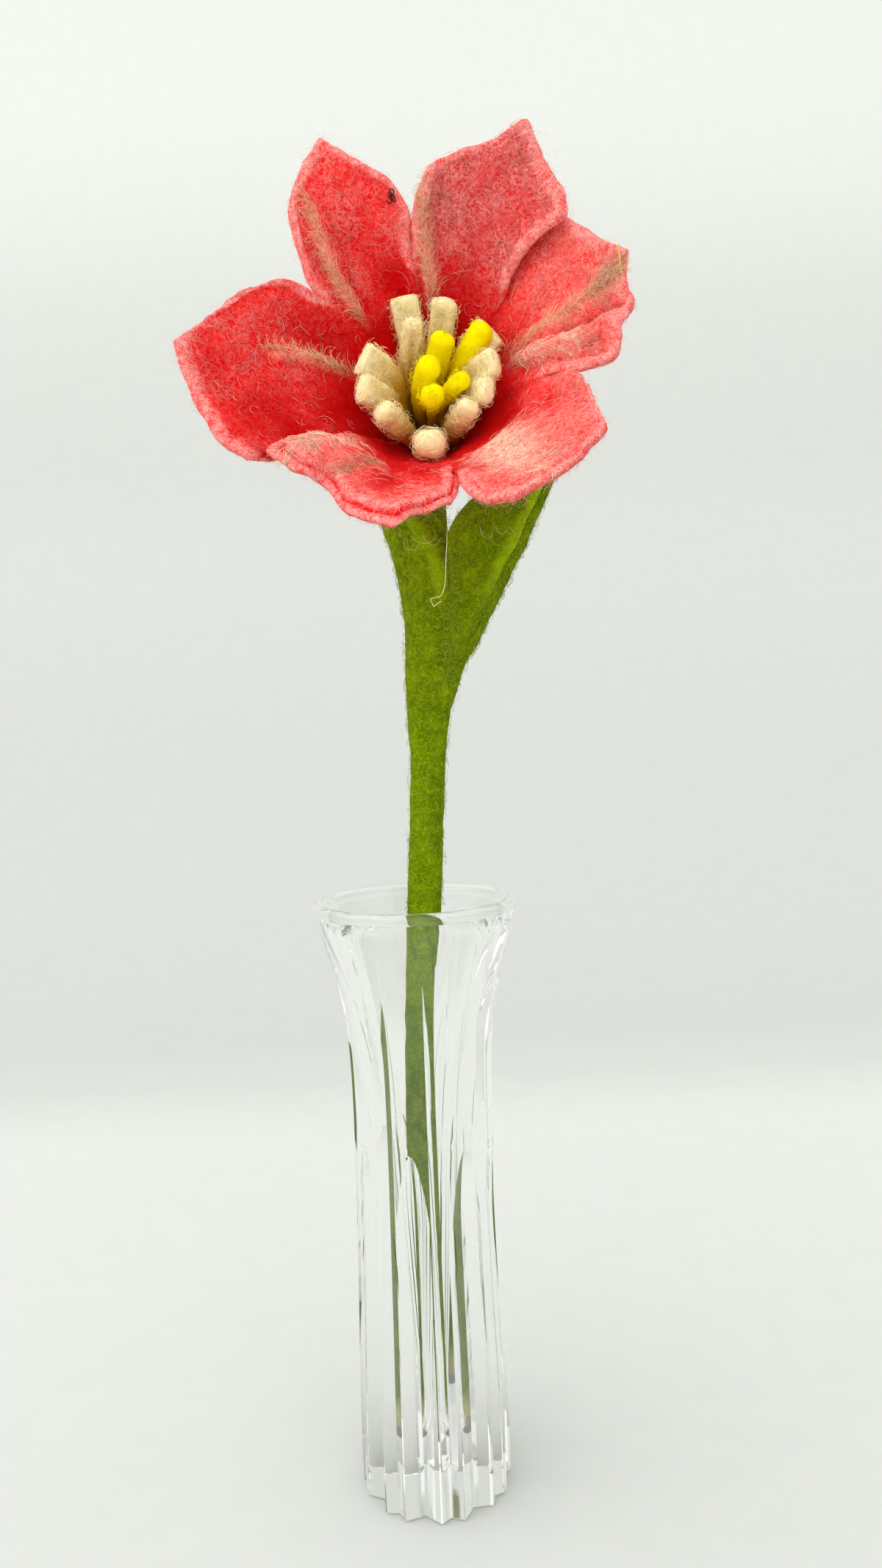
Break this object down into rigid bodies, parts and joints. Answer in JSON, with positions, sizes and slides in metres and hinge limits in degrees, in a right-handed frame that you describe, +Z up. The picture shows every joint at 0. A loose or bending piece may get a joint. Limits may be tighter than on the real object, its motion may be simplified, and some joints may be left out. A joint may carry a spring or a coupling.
{
  "type": "hibiscus in vase",
  "caption": "Felted wool hibiscus bloom with cream stamens and yellow pistil on a green felt stem, standing in a clear fluted glass bud vase.",
  "frame": {"origin": "centre of the vase's flat foot, on the surface it stands on", "axes": "+Z up along the vase, the bloom faces -Y and looks about 20 degrees upwards"},
  "size_m": [0.1302, 0.1054, 0.4313],
  "materials": {
    "glass": "clear pressed glass, polished",
    "green_felt": "needle-felted wool, olive green, fuzzy",
    "red_felt": "needle-felted wool, coral red with pale pink fibres, fuzzy",
    "cream_felt": "needle-felted wool, cream, fuzzy",
    "yellow_felt": "needle-felted wool, bright yellow, fuzzy"
  },
  "bodies": {
    "root": {"vase": "glass", "stem": "green_felt", "calyx_left": "green_felt", "calyx_right": "green_felt", "corolla_base": "green_felt", "petal_left": "red_felt", "petal_upper_left": "red_felt", "petal_upper_right": "red_felt", "petal_right": "red_felt", "petal_lower_right": "red_felt", "petal_bottom": "red_felt", "stamen_fringe": "cream_felt", "pistil": "yellow_felt"}
  },
  "joints": []
}
